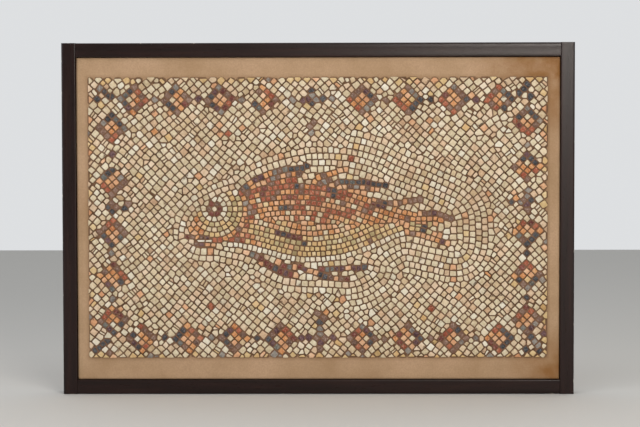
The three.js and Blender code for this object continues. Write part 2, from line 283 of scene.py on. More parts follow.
def distance_to(line, points):
    """How far each point lies from a line."""
    points = np.atleast_2d(points)
    starts = line[:-1]
    sides = line[1:] - starts
    lengths = (sides**2).sum(1) + 1e-9
    nearest = []
    for point in points:
        share = np.clip(((point - starts) * sides).sum(1) / lengths, 0, 1)
        nearest.append(np.linalg.norm(point - starts - sides * share[:, None], axis=1).min())
    return np.array(nearest)


def inside(outline, points):
    """Which points lie inside a closed outline."""
    x, z = np.atleast_2d(points).T
    within = np.zeros(len(x), bool)
    for (x1, z1), (x2, z2) in zip(outline, np.roll(outline, 1, axis=0)):
        rise = z2 - z1 if z2 != z1 else 1e-9
        within ^= ((z1 > z) != (z2 > z)) & (x < (x2 - x1) * (z - z1) / rise + x1)
    return within


# %% [markdown]
# ## The fish's outlines
# The fish swims to the left. Its back and belly are two long curves that meet at the snout and
# the root of the tail, the gill is a curve across them, and every fin has a leading edge. The
# same places bound the solids, so the stones fill them exactly.

# %% The fish's outlines
SNOUT = (-227, -30)
TAIL_TOP = (168, 12)
FORK = (178, -17)
TAIL_ROOT = (146, -28)
EYE = np.array([-176.0, 17.0])
BACK = smooth_line([
    SNOUT, (-221, -10), (-203, 15), (-170, 36), (-124, 49), (-80, 57), (-30, 59), (20, 54),
    (63, 43), (102, 29), (139, 17), TAIL_TOP,
])
BELLY = smooth_line([
    TAIL_ROOT, (125, -36), (102, -46), (75, -58), (41, -68), (0, -73), (-41, -71), (-82, -61),
    (-116, -52), (-147, -48), (-178, -47), (-205, -46),
])
BODY = np.vstack([BACK, BELLY, [(-206, -42), (-178, -38), (-206, -36)]])
TAIL_UPPER = smooth_line([TAIL_TOP, (206, 12), (235, -2)])
TAIL_LOWER = smooth_line([(232, -50), (204, -42), (173, -31), TAIL_ROOT])
TAIL = np.vstack([
    TAIL_UPPER,
    smooth_line([(235, -2), (207, -8), FORK]),
    smooth_line([FORK, (206, -27), (232, -50)]),
    TAIL_LOWER,
])
GILL = smooth_line([(-118, 60), (-119, 30), (-124, 0), (-137, -26), (-160, -42), (-170, -60)])
HEAD_SIDE = np.vstack([GILL, [(-260, -60), (-260, 60)]])
FRONT_FIN_EDGE = smooth_line([(-134, 49), (-117, 64), (-90, 77), (-60, 86), (-29, 91), (-4, 97)])
FRONT_FIN = np.vstack([
    FRONT_FIN_EDGE, smooth_line([(-4, 97), (-20, 84), (-30, 74), (-27, 60)]), [(-80, 55), (-134, 45)],
])
MIDDLE_FIN_EDGE = smooth_line([(-10, 62), (-3, 72), (20, 80), (46, 88), (67, 91)])
MIDDLE_FIN = np.vstack([
    MIDDLE_FIN_EDGE, smooth_line([(67, 91), (44, 80), (26, 70), (18, 55)]), [(-10, 56)],
])
REAR_FIN_EDGE = smooth_line([(26, 60), (36, 66), (64, 66), (95, 63), (127, 58)])
REAR_FIN = np.vstack([
    REAR_FIN_EDGE, smooth_line([(127, 58), (104, 49), (84, 42), (72, 42)]), [(26, 50)],
])
SPIKE_EDGE = smooth_line([(92, 35), (118, 31), (150, 33), (181, 39)])
SPIKE = np.vstack([SPIKE_EDGE, smooth_line([(181, 39), (152, 22), (122, 20)])])
FRONT_BELLY_FIN = smooth_line([(-126, -56), (-111, -61), (-98, -68), (-79, -81), (-60, -91), (-34, -97)])
MIDDLE_BELLY_FIN = smooth_line([(-62, -79), (-28, -84), (-3, -93), (20, -100), (56, -103)])
REAR_BELLY_FIN = smooth_line([(2, -83), (24, -86), (50, -84), (88, -83)])
AROUND = smooth_line([
    (-228, -32), (-222, -4), (-204, 20), (-170, 40), (-134, 54), (-112, 70), (-84, 83), (-50, 93),
    (0, 101), (50, 98), (90, 88), (130, 68), (185, 46), (236, 18), (246, -14), (240, -54),
    (200, -50), (150, -40), (120, -52), (96, -72), (92, -88), (60, -106), (20, -106), (-34, -104),
    (-66, -98), (-100, -78), (-126, -62), (-170, -52), (-206, -50), (-228, -32),
], 2.0)
print("fish, mm: back", round(len(BACK) * 3), "belly", round(len(BELLY) * 3))

# %% [markdown]
# ## Where every stone goes: the border
# Before anything is modelled, each stone gets a place, a turn and a size, as if it were pressed
# into the wet mortar. The border comes first. Its squares stand on a point and hold four by four
# stones: a ring of twelve, dark on the two sides towards the corner and red on the others, round
# four lighter ones. Single dark stones link the squares, and a small floret marks each side.

# %% Where every stone goes: the border
FIELD_HALF = (388.0, 236.0)
FIELD_MIDDLE_Z = 1.0
FIELD_PITCH = 11.0
BORDER_PITCH = 9.8
FISH_PITCH = 9.0
DIAGONAL = math.pi / 4
chance = np.random.default_rng(11)


@dataclass
class Stone:
    """One stone: its middle, its turn, half its width and height, its piece and its colouring."""

    x: float
    z: float
    turn: float
    half_wide: float
    half_high: float
    piece: str
    role: str
    reach: float = 1.22


stones = []


def lay(x, z, turn, size, piece, role, size_high=None):
    """Presses one stone in."""
    stones.append(Stone(x, z, turn, size / 2, (size_high or size) / 2, piece, role))


def lay_block(x, z, cells, piece, roles, turn=DIAGONAL):
    """A small block of border stones turned by 45 degrees, each a little out of true."""
    turn = turn + chance.normal(0, 0.05)
    for (u, v), role in zip(cells, roles):
        wobble = chance.normal(0, 0.3, 2)
        across = u * BORDER_PITCH
        up = v * BORDER_PITCH
        lay(
            x + across * math.cos(turn) - up * math.sin(turn) + wobble[0],
            z + across * math.sin(turn) + up * math.cos(turn) + wobble[1],
            turn + chance.normal(0, 0.06), BORDER_PITCH, piece, role,
        )


SQUARE_RUNS = [
    ("top", "x", 202, -313, 73.5, 4), ("top", "x", 202, 75, 77.6, 4),
    ("bottom", "x", -204, -301, 79.2, 4), ("bottom", "x", -204, 75, 77.6, 4),
    ("right", "z", 355, 88, 77.5, 2), ("right", "z", 355, -172, 75.4, 3),
    ("left", "z", -350, 63, 92.5, 2), ("left", "z", -350, -173, 75, 3),
]
squares = []
laid_on = Counter()
for side, along, line, first, pitch, count in SQUARE_RUNS:
    for i in range(count):
        laid_on[side] += 1
        at = first + i * pitch
        middle = (at, line) if along == "x" else (line, at)
        squares.append((f"border_diamond_{side}_{laid_on[side]}", along, middle))
        if along == "x" and i < count - 1:
            lay(at + pitch / 2, line + chance.normal(0, 1), DIAGONAL, BORDER_PITCH, "field_courses", "link")


def square_role(u, v, towards_corner, worn):
    """What a stone of a border square is, from its place and from how far it lies to the corner."""
    if abs(u) < 1 and abs(v) < 1:
        return "square_light" if towards_corner > 0.6 else "square_middle"
    if worn:
        return "square_worn"
    if abs(towards_corner) < 0.5:
        return "square_turning"
    return "square_dark" if towards_corner > 0 else "square_red"


CELLS = [(u - 1.5, v - 1.5) for u in range(4) for v in range(4)]
for name, along, (x, z) in squares:
    side_sign = math.copysign(1, x if along == "x" else z)
    roles = []
    for u, v in CELLS:
        sideways = (u - v) if along == "x" else (u + v)
        towards_corner = side_sign * sideways / math.sqrt(2)
        roles.append(square_role(u, v, towards_corner, chance.random() < 0.12))
    lay_block(x, z, CELLS, name, roles)

PAIR_OF_PAIRS = [(-0.5, -0.5), (0.5, -0.5), (-0.5, 0.5), (0.5, 0.5)]
for side, x, z, bud_x, bud_z in [
    ("top", -9.5, 202, -10, 160), ("bottom", 4, -204, 6, -172),
    ("right", 355, 31, 332, 31), ("left", -350, 20, -326, 22),
]:
    lay_block(x, z, PAIR_OF_PAIRS, f"border_floret_{side}", ["floret"] * 4)
    lay_block(bud_x, bud_z, [(-0.5, 0), (0.5, 0)], f"border_bud_{side}", ["floret", "bud"])
for corner, x, z, turn in [
    ("top_left", -362, 216, -1), ("top_right", 348, 220, 1),
    ("bottom_left", -366, -214, 1), ("bottom_right", 368, -209, -1),
]:
    row = [(-1, 0), (0, 0), (1, 0)]
    lay_block(x, z, row, f"corner_stones_{corner}", ["corner_dark"] * 3, turn * DIAGONAL)
for x, z, role in [
    (-10, 218, "floret"), (-25, 202, "link"), (-43, 202, "link"), (7, 203, "floret"), (24, 203, "link"),
    (-10, 146, "bud"), (3, -222, "floret"), (-15, -203, "link"), (-28, -203, "link"), (24, -203, "link"),
    (3, -187, "floret"), (-3, -160, "bud"), (14, -160, "bud"), (355, 48, "floret"), (355, 14, "floret"),
    (346, 30, "link"), (-350, -60, "link"), (355, -59, "link"), (355, -135, "link"), (-350, -135, "link"),
    (355, 125, "link"), (-350, 110, "link"), (-374, 206, "corner_dark"), (-350, 208, "corner_dark"),
    (-380, -223, "corner_dark"), (-356, -228, "floret"), (360, 208, "floret"), (376, -225, "corner_dark"),
    (384, -196, "floret"), (352, -222, "corner_dark"),
]:
    lay(x, z, DIAGONAL + chance.normal(0, 0.08), BORDER_PITCH, "field_courses", role)
print("border stones:", len(stones))

# %% [markdown]
# ## Where every stone goes: the fish
# The head is laid in rings round the eye. Behind the gill the rows follow the belly below and
# the back above, and meet along the flank. Fins and tail take rows beside their leading edges.
# Rows of slightly uneven stones, each turned to its line, are what makes the work look laid by
# hand rather than printed.

# %% Where every stone goes: the fish
RING_PITCH = 8.8
BODY_ROW = 8.8
FIN_PITCH = 9.2
FIN_ROW = 8.6
REAR_FIN_ROW = 8.0
TAIL_ROW = 8.4


def lay_row(line, pitch, piece, role, allowed=None, size=None):
    """Stones along a line, each turned to follow it, with uneven widths."""
    line = respace(line, 1.0)
    at = chance.uniform(0.3, 0.7) * pitch
    while at < len(line) - 1 - 0.3 * pitch:
        i = int(at)
        x, z = line[i] + chance.normal(0, 0.35, 2)
        ahead = line[min(i + 2, len(line) - 1)] - line[max(i - 2, 0)]
        width = pitch * chance.uniform(0.84, 1.16)
        if allowed is None or allowed((x, z)):
            turn = math.atan2(ahead[1], ahead[0]) + chance.normal(0, 0.05)
            lay(x, z, turn, width, piece, role, size or pitch)
        at += width


def within(outline, margin=2.0):
    """A test for places that lie inside an outline and clear of its edge."""
    closed = np.vstack([outline, outline[:1]])
    return lambda p: inside(outline, p)[0] and distance_to(closed, p)[0] > margin


in_body = within(BODY, 0.0)
in_head = within(BODY, 3.5)


def in_trunk(p):
    """True behind the gill."""
    return in_body(p) and not inside(HEAD_SIDE, p)[0]


def nearer(p, own, other):
    """True on a row's own side of the flank."""
    return in_trunk(p) and distance_to(other, p)[0] > distance_to(own, p)[0] - 1


def in_mouth(p):
    """True where the mouth's own rows go."""
    return -212 < p[0] < -170 and -52 < p[1] < -27


lay(*EYE, 0.3, FISH_PITCH * 1.1, "fish_eye", "eye")
RINGS = ["eye_rim", "cheek_white", "cheek_olive", "cheek_ochre", "cheek_ochre", "cheek_orange"]
for k, role in enumerate(RINGS, start=1):
    radius = k * RING_PITCH
    count = int(2 * math.pi * radius / FISH_PITCH)
    for i in range(count):
        angle = 2 * math.pi * i / count - math.pi
        place = EYE + radius * np.array([math.cos(angle), math.sin(angle)])
        if in_head(place) and inside(HEAD_SIDE, place)[0] and not in_mouth(place):
            lay(*place, angle + math.pi / 2, FISH_PITCH, "fish_head", role)
for line, pitch, size, role in [
    ([(-226, -30), (-205, -31), (-180, -31)], 8.5, 6.0, "lip"),
    ([(-206, -37.5), (-178, -38)], 13.0, 4.0, "mouth"),
    ([(-209, -43), (-172, -44)], 9.0, 5.0, "lip"),
]:
    lay_row(smooth_line(line), pitch, "fish_head", role, size=size)
for k in range(8):
    inset = (k + 0.5) * BODY_ROW
    lay_row(beside(BELLY, -inset), FISH_PITCH, "fish_belly", f"belly_{k}", lambda p: nearer(p, BELLY, BACK))
    lay_row(beside(BACK, -inset), FISH_PITCH, "fish_back", f"back_{k}", lambda p: nearer(p, BACK, BELLY))


def lay_fin_row(k, row, edge, fin, piece, role, margin=2.0):
    """The fin's row number k, beside its leading edge."""
    lay_row(beside(edge, -(k + 0.5) * row), FIN_PITCH, piece, f"{role}_{k}", within(fin, margin))


for k in range(4):
    lay_fin_row(k, FIN_ROW, FRONT_FIN_EDGE, FRONT_FIN, "fish_front_dorsal_fin", "front_fin")
    lay_fin_row(k, FIN_ROW, MIDDLE_FIN_EDGE, MIDDLE_FIN, "fish_middle_dorsal_fin", "middle_fin")
for k in range(3):
    lay_fin_row(k, REAR_FIN_ROW, REAR_FIN_EDGE, REAR_FIN, "fish_rear_dorsal_fin", "rear_fin", 1.5)
lay_row(beside(SPIKE_EDGE, -4.5), 9.0, "fish_tail_spike", "spike")
lay_row(beside(SPIKE_EDGE, -12.5), 9.0, "fish_tail_spike", "spike", within(SPIKE, 1.0))
for k in range(3):
    lay_fin_row(k, TAIL_ROW, TAIL_UPPER, TAIL, "fish_tail_fin", "tail_upper", 1.8)
    lay_fin_row(k, TAIL_ROW, TAIL_LOWER, TAIL, "fish_tail_fin", "tail_lower", 1.8)
for line, piece in [
    (FRONT_BELLY_FIN, "fish_front_belly_fin"), (MIDDLE_BELLY_FIN, "fish_middle_belly_fin"),
    (REAR_BELLY_FIN, "fish_rear_belly_fin"),
]:
    lay_row(line, 9.4, piece, "fin_stone", size=8.0)
fish_places = np.array([(s.x, s.z) for s in stones if s.piece.startswith("fish")])
print("fish stones:", len(fish_places))

# %% [markdown]
# ## Where every stone goes: the ground
# The cream ground follows the fish first, in courses that echo its outline and fan out behind
# the tail. The rest is a diagonal net, gently warped as rows laid by eye are. A few places are
# filled with two narrow stones in place of one. Small stones then fill whatever gaps are left.

# %% Where every stone goes: the ground
COURSE_PITCH = 10.6
NARROW_SHARE = 0.07


def places_so_far():
    """The middles of all the stones laid until now."""
    return np.array([(s.x, s.z) for s in stones])


def clear_of(places, p, gap):
    """True if no place lies within the gap of p."""
    return np.hypot(*(places - p).T).min() > gap


def lay_course(k, piece, allowed):
    """One course of cream stones that runs round the fish, k courses out from its outline."""
    offset = (k + 0.5) * COURSE_PITCH

    def fits(p):
        if abs(distance_to(AROUND, p)[0] - abs(offset)) > 2.0:
            return False
        if inside(BODY, p)[0] or inside(TAIL, p)[0]:
            return False
        return allowed(p) and clear_of(fish_places, p, 8.6) and clear_of(places_so_far(), p, 8.4)

    lay_row(beside(AROUND, offset), COURSE_PITCH, piece, "ground", fits)


for k in (-4, -3, -2, -1, 0, 1):
    lay_course(k, "fish_course_inner" if k < 1 else "fish_course_outer", lambda p: True)
for k, widest in ((2, 175), (3, 150), (4, 120)):
    def behind_tail(p):
        turn = math.degrees(math.atan2(p[1] + 15, p[0] - 120))
        return p[0] > 55 and abs(turn) < widest

    lay_course(k, "field_courses", behind_tail)


def drift(x, z):
    """How far the diagonal net wanders from a true one."""
    return (
        4 * math.sin(z / 47 + 1) + 3 * math.sin((x + z) / 83 + 0.5) + 2 * math.sin(x / 31 + z / 57),
        4 * math.sin(x / 52 + 2) + 3 * math.sin((x - z) / 91 + 1.7) + 2 * math.sin(z / 29 - x / 61),
    )


fixed_places = places_so_far()
rows = int(700 / FIELD_PITCH)
net = []
for i in range(-rows, rows + 1):
    for j in range(-rows, rows + 1):
        x = (i - j) * FIELD_PITCH / math.sqrt(2)
        z = (i + j) * FIELD_PITCH / math.sqrt(2) + FIELD_MIDDLE_Z
        dx, dz = drift(x, z)
        ahead_x, ahead_z = drift(x + 1, z + 1)
        turn = math.atan2(1 + ahead_z - dz, 1 + ahead_x - dx)
        net.append((x + dx, z + dz, turn))
net = np.array(net)
net[:, :2] += chance.normal(0, 1.1, (len(net), 2))
on_panel = (abs(net[:, 0]) < FIELD_HALF[0] + 4) & (abs(net[:, 1] - FIELD_MIDDLE_Z) < FIELD_HALF[1] + 3)
net = net[on_panel]
spare = np.sqrt(((net[:, None, :2] - fixed_places[None]) ** 2).sum(2)).min(1)
net = net[(spare > 8.3) & ~inside(AROUND, net[:, :2])]
for x, z, turn in net:
    turn += chance.normal(0, 0.11)
    size = FIELD_PITCH * chance.uniform(0.84, 1.14)
    if chance.random() < NARROW_SHARE:
        turn += chance.integers(2) * math.pi / 2
        share = chance.uniform(0.35, 0.65)
        for part, way in ((share, -1), (1 - share, 1)):
            off = way * (1 - part) * size / 2
            part_x = x + off * math.cos(turn)
            part_z = z + off * math.sin(turn)
            lay(part_x, part_z, turn, part * size, "field_courses", "ground", size)
    else:
        lay(x, z, turn, size, "field_courses", "ground")
print("stones after the net:", len(stones))

# %% [markdown]
# ## Filling the gaps and settling the stones
# Where no stone is near, a small one is added. Then every stone is trimmed to the room it really
# has: it starts as a square, and a straight joint shared with each neighbour cuts it down. The
# joint leans the way both stones are turned, so rows keep their lines. A few rounds of moving
# each stone to the middle of its room spread them evenly, as a worker would.

# %% Filling the gaps and settling the stones
GAP_TO_FILL = 8.2
SMALL_STONE = 8.4
LOOK_STEP = 2.0
LOOK_REACH = 16
SQUARE_ENOUGH = 0.81
HALF_JOINT = 0.85
SMALLEST_AREA = 12.0
EDGES = [((-1, 0), 391.0), ((1, 0), 389.5), ((0, -1), 237.0), ((0, 1), 240.5)]


def looked_at(place, start):
    """The steps of the search grid that lie near a place, along one axis."""
    first = int((place - LOOK_REACH - start) / LOOK_STEP)
    last = int((place + LOOK_REACH - start) / LOOK_STEP) + 1
    return slice(max(0, first), max(0, last))


def fill_gaps():
    """Adds a small stone wherever the nearest one is too far away."""
    across = np.arange(-FIELD_HALF[0], FIELD_HALF[0], LOOK_STEP)
    up = np.arange(FIELD_MIDDLE_Z - FIELD_HALF[1], FIELD_MIDDLE_Z + FIELD_HALF[1], LOOK_STEP)
    grid_x, grid_z = np.meshgrid(across, up)
    nearest = np.full(grid_x.shape, 99.0)
    for x, z in places_so_far():
        near = (looked_at(z, up[0]), looked_at(x, across[0]))
        np.minimum(nearest[near], np.hypot(grid_x[near] - x, grid_z[near] - z), out=nearest[near])
    added = 0
    while nearest.max() > GAP_TO_FILL:
        j, i = np.unravel_index(nearest.argmax(), nearest.shape)
        place = np.array([grid_x[j, i], grid_z[j, i]])
        model = stones[int(np.hypot(*(places_so_far() - place).T).argmin())]
        in_fish = inside(BODY, place)[0] or inside(TAIL, place)[0]
        alike = in_fish or model.piece.startswith("fish_course")
        piece, role = (model.piece, model.role) if alike else ("field_courses", "ground")
        lay(*place, model.turn, SMALL_STONE, piece, role)
        added += 1
        nearest = np.minimum(nearest, np.hypot(grid_x - place[0], grid_z - place[1]))
    return added


def cut_back(outline, normal, limit):
    """The part of a convex outline that lies on the near side of a straight cut."""
    kept = []
    depths = [normal[0] * x + normal[1] * z - limit for x, z in outline]
    for i, (start, depth) in enumerate(zip(outline, depths)):
        end = outline[(i + 1) % len(outline)]
        end_depth = depths[(i + 1) % len(outline)]
        if depth <= 0:
            kept.append(start)
        if depth * end_depth < 0:
            share = depth / (depth - end_depth)
            kept.append((start[0] + (end[0] - start[0]) * share, start[1] + (end[1] - start[1]) * share))
    return kept


def facing_side(stone, direction):
    """The turn of the stone's side that faces a direction, and half its size that way."""
    quarter = round((direction - stone.turn) / (math.pi / 2))
    half = stone.half_wide if quarter % 2 == 0 else stone.half_high
    return stone.turn + quarter * math.pi / 2, half


def search_tree(places):
    """A quick way to look up which places lie near another."""
    tree = kdtree.KDTree(len(places))
    for i, (x, z) in enumerate(places):
        tree.insert((x, z, 0), i)
    tree.balance()
    return tree


def shared_joint(stone, other, gap):
    """The way the joint between two stones faces, and how far from the first one it lies."""
    dx, dz = other.x - stone.x, other.z - stone.z
    way = math.atan2(dz, dx)
    own_turn, own_half = facing_side(stone, way)
    other_turn, other_half = facing_side(other, way + math.pi)
    nx = math.cos(own_turn) - math.cos(other_turn)
    nz = math.sin(own_turn) - math.sin(other_turn)
    length = math.hypot(nx, nz)
    ux, uz = dx / gap, dz / gap
    if length > 0.5 and (nx * ux + nz * uz) / length > SQUARE_ENOUGH:
        nx, nz = 0.8 * nx / length + 0.2 * ux, 0.8 * nz / length + 0.2 * uz
        length = math.hypot(nx, nz)
        nx, nz = nx / length, nz / length
    else:
        nx, nz = ux, uz
    return (nx, nz), (dx * nx + dz * nz) * (own_half / (own_half + other_half))


def trimmed(joint=0.0):
    """The outline of every stone round its own middle, cut back to its joints."""
    tree = search_tree([(stone.x, stone.z) for stone in stones])
    outlines = []
    for i, stone in enumerate(stones):
        w, h = stone.half_wide * stone.reach, stone.half_high * stone.reach
        c, s = math.cos(stone.turn), math.sin(stone.turn)
        outline = [(u * c - v * s, u * s + v * c) for u, v in ((-w, -h), (w, -h), (w, h), (-w, h))]
        for _, j, gap in tree.find_range((stone.x, stone.z, 0), 3.2 * max(w, h) + 5):
            if j != i and gap >= 1e-6 and outline:
                normal, limit = shared_joint(stone, stones[j], gap)
                outline = cut_back(outline, normal, limit - joint)
        outlines.append(outline)
    return outlines


def area_and_middle(outline):
    """The area of an outline and the middle of it."""
    area = mx = mz = 0.0
    for (x1, z1), (x2, z2) in zip(outline, outline[1:] + outline[:1]):
        cross = x1 * z2 - x2 * z1
        area += cross / 2
        mx += (x1 + x2) * cross / 6
        mz += (z1 + z2) * cross / 6
    return (area, mx / area, mz / area) if area > 1e-6 else (0.0, 0.0, 0.0)


def freedom(piece):
    """How readily a stone moves: the ground gives way to the figure."""
    if piece == "field_courses":
        return 0.6
    if piece.startswith("fish_course"):
        return 0.3
    return 0.2 if piece.startswith("fish") else 0.06


print("small stones added:", fill_gaps(), "of", len(stones))
for stone in stones:
    if abs(stone.x) > FIELD_HALF[0] - 7 or abs(stone.z - FIELD_MIDDLE_Z) > FIELD_HALF[1] - 6:
        stone.reach = 0.92
        if stone.role == "ground":
            stone.role = "edge"
for _ in range(3):
    for stone, outline in zip(stones, trimmed()):
        if len(outline) > 2:
            area, mx, mz = area_and_middle(outline)
            stone.x += mx * freedom(stone.piece)
            stone.z += mz * freedom(stone.piece)

laid = []
for stone, outline in zip(stones, trimmed(HALF_JOINT)):
    for normal, limit in EDGES:
        middle = stone.x * normal[0] + stone.z * normal[1]
        outline = cut_back(outline, normal, limit - abs(chance.normal(0, 1.3)) - middle)
    outline = [(u * chance.uniform(0.93, 1), v * chance.uniform(0.93, 1)) for u, v in outline]
    if len(outline) > 2 and area_and_middle(outline)[0] > SMALLEST_AREA:
        laid.append((stone, outline))
areas = [area_and_middle(outline)[0] for _, outline in laid]
print("stones laid:", len(laid), "mean area, mm2:", round(float(np.mean(areas)), 1))

# %% [markdown]
# ## What each stone is made of
# Mosaic workers used what the hills gave: limestones from white through cream to ochre and
# peach, red and brown marbles, and near-black basalt. Each stone takes its kind by chance from
# the mix its place calls for, so a red area holds a few orange and brown ones. Over the fish,
# broad strokes change the mix, just as a painter lays in areas of colour.

# %% What each stone is made of
KINDS = {
    "cream": ("cream limestone, worn smooth", "#c2ad8a", "#dccdae", "#ece2ca", 0.78),
    "rosy": ("rosy cream limestone, worn smooth", "#c0a283", "#dcc4a6", "#ebdac2", 0.78),
    "white": ("white limestone, worn smooth", "#d0c5ac", "#e5dcc6", "#f1ebdc", 0.75),
    "ochre": ("ochre limestone, worn smooth", "#bf9f6c", "#d8ba87", "#e6cfa4", 0.8),
    "olive": ("olive limestone, worn smooth", "#9d8d66", "#bba97e", "#d2c29a", 0.8),
    "peach": ("peach limestone, worn smooth", "#bf8c66", "#deac84", "#eac5a3", 0.78),
    "orange": ("orange marble, worn smooth", "#b06a3c", "#d39560", "#e0ab7b", 0.72, "#e6bd94"),
    "red": ("terracotta red marble, worn smooth", "#7a3826", "#a4563c", "#b97456", 0.7, "#c39a80"),
    "oxblood": ("oxblood marble, worn smooth", "#4e2420", "#703830", "#8b5248", 0.65, "#a58474"),
    "brown": ("brown marble, worn smooth", "#5b4238", "#7d6052", "#9b8072", 0.7, "#b09a88"),
    "plum": ("plum marble, worn smooth", "#40282c", "#5e4044", "#7c5c5c", 0.65, "#967c78"),
    "grey": ("grey limestone, worn smooth", "#65605c", "#86807a", "#a39c92", 0.75, "#b5ac9e"),
    "slate": ("green grey slate, split", "#484b48", "#656663", "#84837c", 0.7, "#9c9a8e"),
    "basalt": ("black basalt, cut and worn", "#29282a", "#403f41", "#5f5d5c", 0.6, "#77767a"),
}
MIXES = {
    "ground": {"cream": 62, "rosy": 22, "white": 12, "ochre": 2, "peach": 2},
    "edge": {"cream": 34, "rosy": 22, "ochre": 28, "peach": 12, "grey": 4},
    "square_dark": {"basalt": 46, "slate": 14, "brown": 16, "plum": 14, "grey": 10},
    "square_red": {"red": 46, "oxblood": 20, "brown": 20, "orange": 14},
    "square_turning": {"brown": 45, "orange": 20, "grey": 20, "red": 15},
    "square_worn": {"peach": 35, "brown": 30, "cream": 20, "grey": 15},
    "square_middle": {"orange": 66, "peach": 34},
    "square_light": {"white": 14, "cream": 38, "peach": 34, "ochre": 14},
    "link": {"grey": 34, "basalt": 22, "brown": 22, "plum": 12, "slate": 10},
    "floret": {"grey": 36, "basalt": 30, "brown": 22, "plum": 12},
    "bud": {"orange": 40, "brown": 40, "grey": 20},
    "corner_dark": {"basalt": 65, "grey": 20, "plum": 15},
    "eye": {"white": 100},
    "eye_rim": {"brown": 45, "oxblood": 35, "plum": 20},
    "cheek_white": {"white": 85, "cream": 15},
    "cheek_olive": {"olive": 50, "cream": 30, "ochre": 20},
    "cheek_ochre": {"ochre": 50, "olive": 25, "cream": 25},
    "cheek_orange": {"orange": 60, "peach": 30, "ochre": 10},
    "lip": {"plum": 25, "oxblood": 25, "brown": 30, "peach": 20},
    "mouth": {"white": 80, "cream": 20},
    "trunk": {"peach": 52, "orange": 22, "cream": 14, "ochre": 8, "red": 4},
    "belly_0": {"white": 75, "cream": 25},
    "belly_gold": {"ochre": 58, "olive": 26, "cream": 8, "peach": 8},
    "red_flank": {"red": 60, "oxblood": 12, "orange": 14, "brown": 10, "peach": 4},
    "mixed_flank": {"red": 44, "peach": 24, "brown": 12, "orange": 12, "cream": 8},
    "tan": {"peach": 45, "brown": 25, "orange": 20, "grey": 10},
    "orange_patch": {"orange": 85, "peach": 15},
    "streak": {"basalt": 40, "slate": 30, "brown": 30},
    "plum_streak": {"plum": 45, "basalt": 30, "oxblood": 25},
    "crest": {"brown": 26, "basalt": 20, "plum": 16, "orange": 14, "grey": 12, "peach": 12},
    "dark_crest": {"basalt": 55, "slate": 12, "brown": 20, "plum": 13},
    "gill": {"red": 35, "brown": 22, "plum": 15, "grey": 12, "orange": 16},
    "throat": {"red": 45, "brown": 20, "plum": 15, "orange": 20},
    "tail_gold": {"ochre": 45, "olive": 30, "peach": 25},
    "tail_brown": {"brown": 50, "plum": 20, "peach": 20, "orange": 10},
    "tail_peach": {"orange": 45, "peach": 45, "brown": 10},
    "fin_stone": {"oxblood": 24, "brown": 22, "plum": 18, "basalt": 16, "peach": 14, "slate": 6},
}
ROW_MIXES = {
    "belly_": "belly_gold", "back_": "trunk", "front_fin_0": "crest", "front_fin_1": "tan",
    "front_fin_": "red_flank", "middle_fin_": "tan", "rear_fin_": "tan", "spike": "tail_brown",
    "tail_upper_0": "tail_brown",
    "tail_upper_1": "tail_peach", "tail_upper_": "tail_gold", "tail_lower_0": "tail_peach",
    "tail_lower_": "tail_gold",
}
STROKES = [
    # a line across the fish, how far the colour reaches to each side of it, and the mix
    ([(-118, 38), (-70, 44), (0, 42), (46, 34), (85, 16)], 14, "red_flank"),
    ([(-96, 57), (-76, 62), (-60, 62)], 6, "red_flank"),
    ([(-26, 24), (16, 20), (58, 10)], 23, "mixed_flank"),
    ([(-112, 57), (-76, 76), (-58, 80), (-30, 84)], 6, "tan"),
    ([(-134, 49), (-100, 72)], 4, "crest"),
    ([(-60, 90), (-44, 88), (-4, 97)], 6, "dark_crest"),
    ([(-36, 58), (-22, 70), (-6, 62)], 6, "crest"),
    ([(-95, 12), (-72, 24), (-58, 28)], 7, "orange_patch"),
    ([(-76, 6), (-66, 12), (-48, 21)], 4.5, "streak"),
    ([(-92, -2), (-62, 4), (-46, 8)], 8, "trunk"),
    ([(-118, 26), (-112, 10), (-118, -6)], 6, "gill"),
    ([(-122, -12), (-134, -24), (-142, -32)], 6, "gill"),
    ([(-172, -40), (-150, -40), (-132, -40)], 7, "throat"),
    ([(-104, -26), (-60, -34), (-20, -44), (20, -46), (60, -36), (100, -20), (130, -14)], 13, "belly_gold"),
    ([(-40, -12), (0, -18), (34, -12), (70, -2)], 10, "trunk"),
    ([(-74, -18), (-44, -30), (-34, -35), (-20, -41)], 4.0, "plum_streak"),
    ([(-132, -10), (-120, -30), (-100, -42)], 6, "trunk"),
    ([(-200, 14), (-190, 23), (-166, 36)], 6, "lip"),
    ([(-152, 39), (-143, 44)], 6, "dark_crest"),
    ([(-125, 46), (-123, 47)], 6, "dark_crest"),
    ([(-224, -20), (-216, 2)], 5, "tan"),
    ([(-212, 0), (-206, -16), (-204, -24)], 8, "cheek_orange"),
    ([(30, 68), (56, 62), (86, 60), (122, 60)], 4.5, "dark_crest"),
    ([(22, 54), (24, 44)], 7, "dark_crest"),
    ([(98, 33), (108, 24), (120, 25)], 5, "dark_crest"),
    ([(62, 44), (90, 36)], 8, "trunk"),
    ([(-30, 57), (0, 60), (18, 60)], 5, "crest"),
    ([(88, -36), (104, -46)], 5, "tail_brown"),
    ([(182, -16), (204, -21)], 5, "streak"),
    ([(171, -31), (173, -32)], 5, "plum_streak"),
    ([(208, -43), (210, -44)], 4.5, "plum_streak"),
    ([(135, 2), (170, 3), (205, 2)], 4.2, "tail_peach"),
    ([(108, -8), (150, -8)], 5, "trunk"),
]
SCATTERED = [
    (-279, 153, "orange"), (-148, 148, "red"), (-180, -148, "red"), (196, 149, "orange"),
    (54, 103, "red"), (192, -151, "red"), (292, -100, "orange"), (-101, 34, "white"),
]
strokes = [(smooth_line(line), reach, mix) for line, reach, mix in STROKES]


